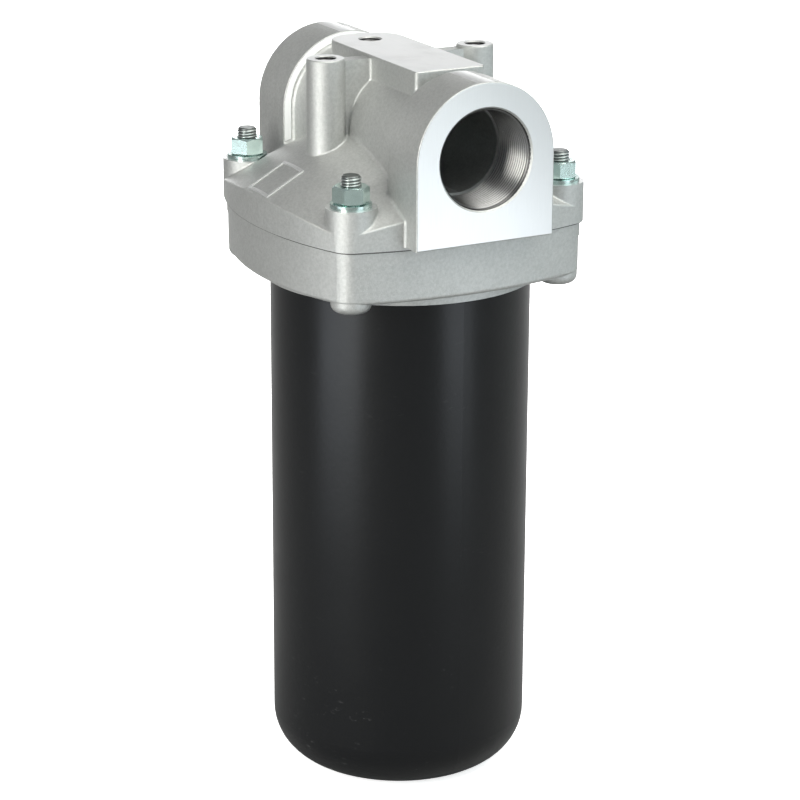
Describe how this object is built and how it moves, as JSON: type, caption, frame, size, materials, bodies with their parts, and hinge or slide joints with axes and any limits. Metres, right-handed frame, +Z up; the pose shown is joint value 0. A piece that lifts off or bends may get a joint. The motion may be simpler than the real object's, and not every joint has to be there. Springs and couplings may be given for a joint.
{
  "type": "hydraulic filter housing",
  "caption": "In-line hydraulic filter housing: cast head with opposed threaded ports and mounting posts, clamp ring on studs, deep black bowl and a pleated element inside.",
  "frame": {"origin": "centre of the bowl's flat foot", "axes": "+Z up along the bowl's axis; +X along the port axis, out of the outlet port; -Y towards the side with the raised frame on the slope"},
  "size_m": [0.2066, 0.195, 0.451],
  "materials": {
    "cast_head": "sand-cast with machined faces",
    "cast_ring": "sand-cast",
    "bowl_paint": "smooth black paint",
    "seal_rubber": "black nitrile",
    "stud_steel": "plain steel",
    "zinc_steel": "zinc-plated",
    "cap_steel": "tin-plated sheet",
    "media_fleece": "pleated fleece with mesh",
    "valve_alloy": "turned",
    "valve_steel": "turned",
    "spring_steel": "drawn wire"
  },
  "bodies": {
    "housing": {"head_casting": "cast_head", "clamp_ring": "cast_ring", "bowl": "bowl_paint", "bowl_seal": "seal_rubber", "stud_1": "stud_steel", "stud_2": "stud_steel", "stud_3": "stud_steel", "stud_4": "stud_steel", "washer_1": "zinc_steel", "washer_2": "zinc_steel", "washer_3": "zinc_steel", "washer_4": "zinc_steel", "nut_1": "zinc_steel", "nut_2": "zinc_steel", "nut_3": "zinc_steel", "nut_4": "zinc_steel", "element_top_cap": "cap_steel", "element_neck_seal": "seal_rubber", "element_media": "media_fleece", "element_core_tube": "cap_steel", "element_bottom_cap": "cap_steel", "bypass_seat": "valve_alloy", "bypass_spring": "spring_steel", "bypass_retainer": "cap_steel", "element_spring": "spring_steel"},
    "poppet": {"bypass_poppet": "valve_steel"}
  },
  "joints": [
    {"name": "bypass_lift", "type": "slide", "parent": "housing", "child": "poppet", "axis": [0, 0, 1], "range_m": [0, 0.008], "stiffness_N_per_m": 8000, "springref_m": -0.01, "deforming": ["bypass_spring"]}
  ]
}
